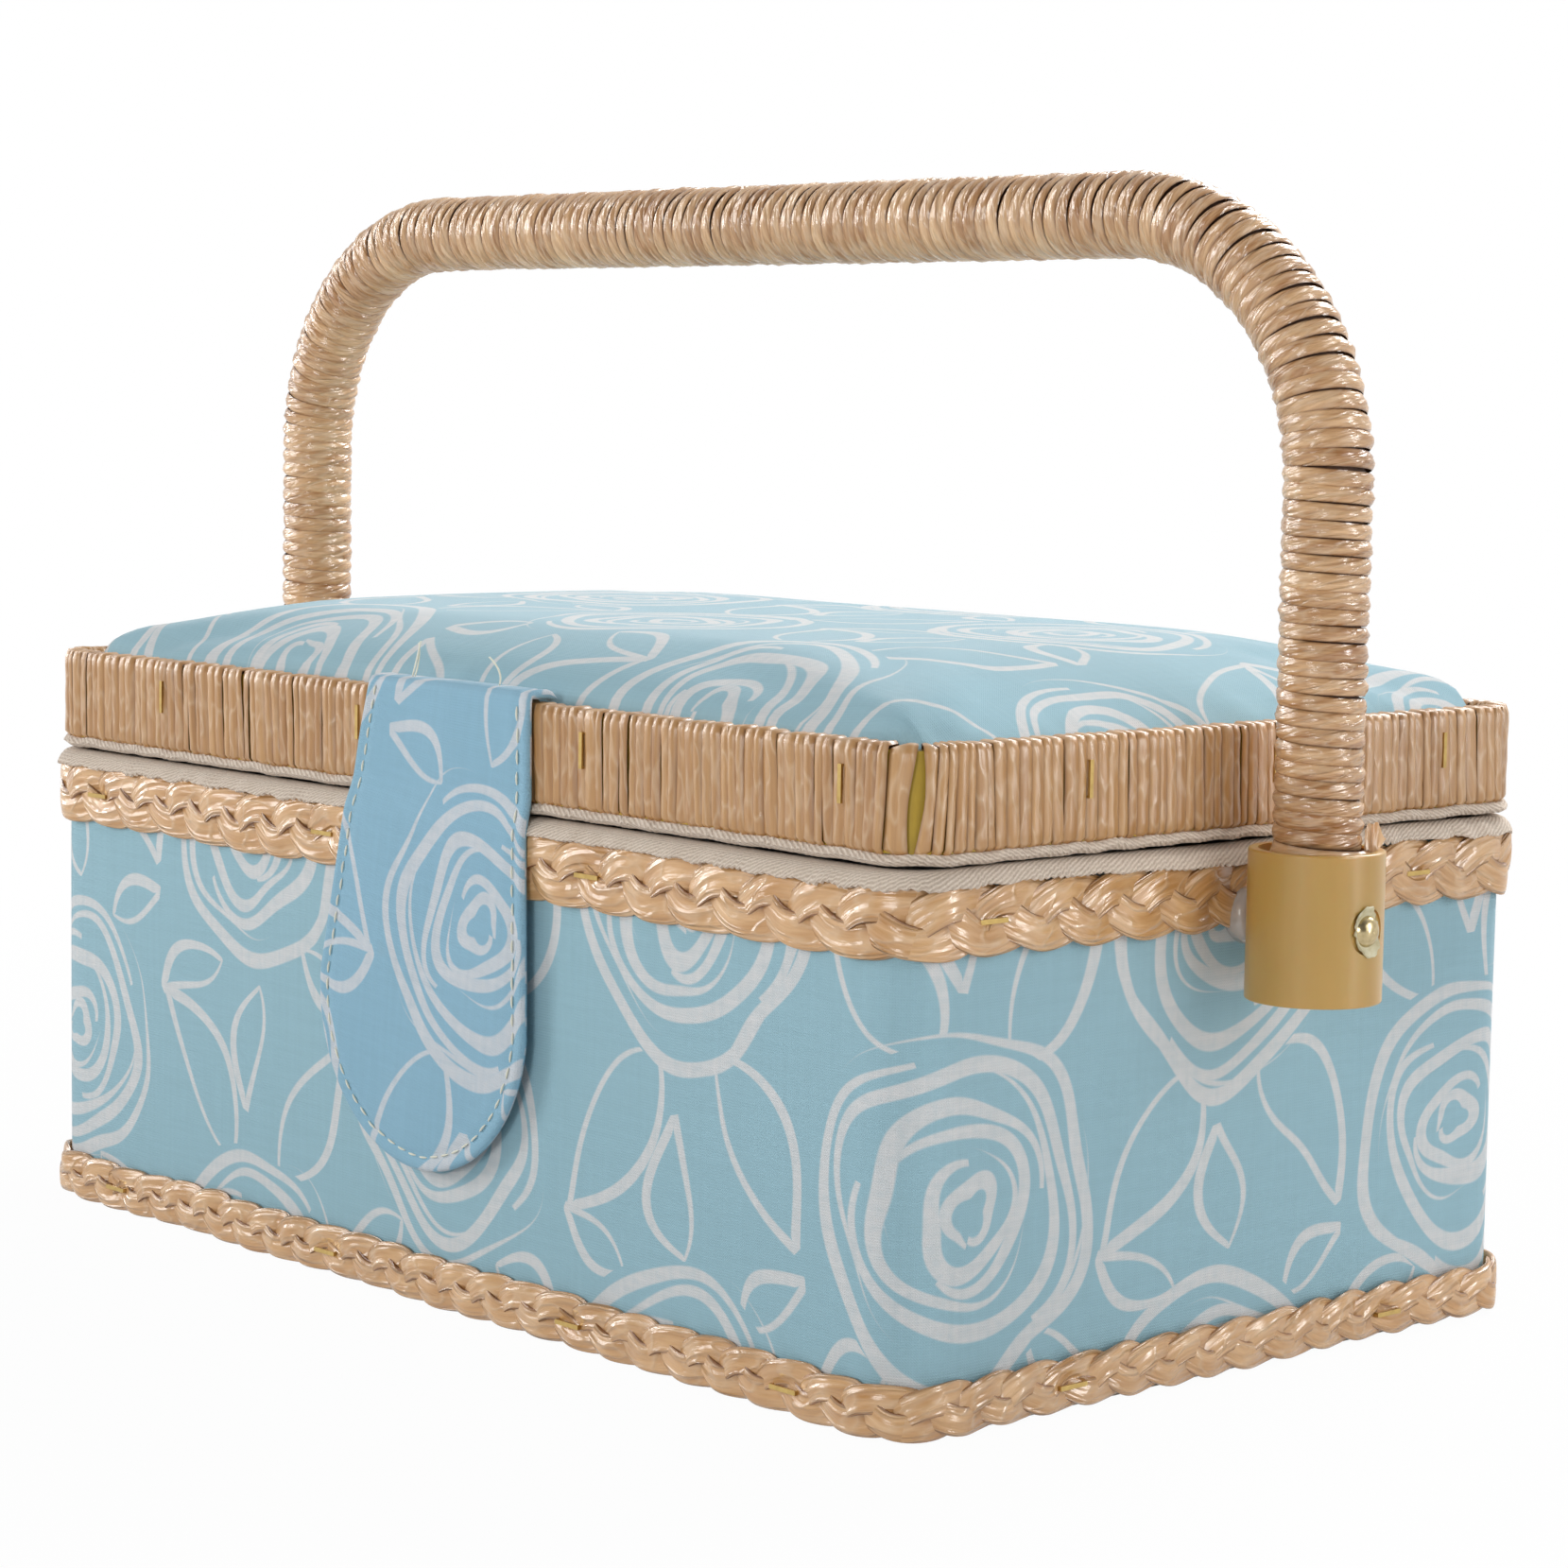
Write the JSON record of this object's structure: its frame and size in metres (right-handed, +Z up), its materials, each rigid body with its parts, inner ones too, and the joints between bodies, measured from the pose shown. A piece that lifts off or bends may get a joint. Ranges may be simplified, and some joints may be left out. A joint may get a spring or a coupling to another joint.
{
  "type": "sewing box",
  "caption": "Cloth-covered sewing box with padded hinged lid, closing tab, lift-out tray and a swinging straw-wrapped handle.",
  "frame": {"origin": "centre of the box's footprint on the table, at the underside of its base", "axes": "+X along the box's long side, -Y to the front with the closing tab, +Z up"},
  "size_m": [0.3064, 0.1603, 0.2022],
  "materials": {
    "base_cloth": "matte",
    "base_board": "matte",
    "wall_board": "matte",
    "body_cover": "matte",
    "body_lining": "matte",
    "base_lining": "matte",
    "body_tape": "matte",
    "upper_braid": "satin",
    "foot_braid": "satin",
    "upper_braid_staples": "satin",
    "foot_braid_staples": "satin",
    "tray_supports": "matte",
    "hinge_leaves_box": "polished",
    "hinge_leaves_lid": "polished",
    "hinge_pins": "polished",
    "hinge_screws_box": "polished",
    "hinge_screws_lid": "polished",
    "lid_tape": "matte",
    "rim_core": "satin",
    "rim_wrap": "satin",
    "rim_staples": "satin",
    "lid_board": "matte",
    "lid_lining": "matte",
    "pad_foam": "matte",
    "pad_cover": "matte",
    "pincushion": "matte",
    "tab_anchor": "matte",
    "tab_flap": "matte",
    "snap_socket": "satin",
    "snap_stud": "satin",
    "handle_core": "matte",
    "handle_wrap": "satin",
    "ferrule_left": "satin",
    "ferrule_right": "satin",
    "rivet_left": "polished",
    "rivet_right": "polished",
    "outer_washer_left": "matte",
    "outer_washer_right": "matte",
    "inner_washer_left": "satin",
    "inner_washer_right": "satin",
    "spacer_left": "gloss",
    "spacer_right": "gloss",
    "tray": "satin"
  },
  "bodies": {
    "box": {"base_cloth": "base_cloth", "base_board": "base_board", "wall_board": "wall_board", "body_cover": "body_cover", "body_lining": "body_lining", "base_lining": "base_lining", "body_tape": "body_tape", "upper_braid": "upper_braid", "foot_braid": "foot_braid", "upper_braid_staples": "upper_braid_staples", "foot_braid_staples": "foot_braid_staples", "tray_supports": "tray_supports", "hinge_leaves_box": "hinge_leaves_box", "hinge_pins": "hinge_pins", "hinge_screws_box": "hinge_screws_box", "rivet_left": "rivet_left", "rivet_right": "rivet_right", "outer_washer_left": "outer_washer_left", "outer_washer_right": "outer_washer_right", "inner_washer_left": "inner_washer_left", "inner_washer_right": "inner_washer_right", "spacer_left": "spacer_left", "spacer_right": "spacer_right", "snap_socket": "snap_socket"},
    "lid": {"lid_tape": "lid_tape", "rim_core": "rim_core", "rim_wrap": "rim_wrap", "rim_staples": "rim_staples", "lid_board": "lid_board", "lid_lining": "lid_lining", "pad_foam": "pad_foam", "pad_cover": "pad_cover", "pincushion": "pincushion", "hinge_leaves_lid": "hinge_leaves_lid", "hinge_screws_lid": "hinge_screws_lid", "tab_anchor": "tab_anchor"},
    "tab": {"tab_flap": "tab_flap", "snap_stud": "snap_stud"},
    "handle": {"handle_core": "handle_core", "handle_wrap": "handle_wrap", "ferrule_left": "ferrule_left", "ferrule_right": "ferrule_right"},
    "tray": {"tray": "tray"}
  },
  "joints": [
    {"name": "lid_hinge", "type": "hinge", "parent": "box", "child": "lid", "pos_m": [0, 0.0788, 0.0908], "axis": [-1, 0, 0], "range_deg": [0, 100]},
    {"name": "handle_swing", "type": "hinge", "parent": "box", "child": "handle", "pos_m": [0, 0, 0.0785], "axis": [-1, 0, 0], "range_deg": [-127, 127]},
    {"name": "tab_flex", "type": "hinge", "parent": "lid", "child": "tab", "pos_m": [0, -0.0779, 0.0928], "axis": [-1, 0, 0], "range_deg": [0, 110]},
    {"name": "tray_lift", "type": "slide", "parent": "box", "child": "tray", "axis": [0, 0, 1], "range_m": [0, 0.005]}
  ],
  "couplings": [
    {"joint": "handle_swing", "follows": "lid_hinge", "ratio": 1.27}
  ]
}
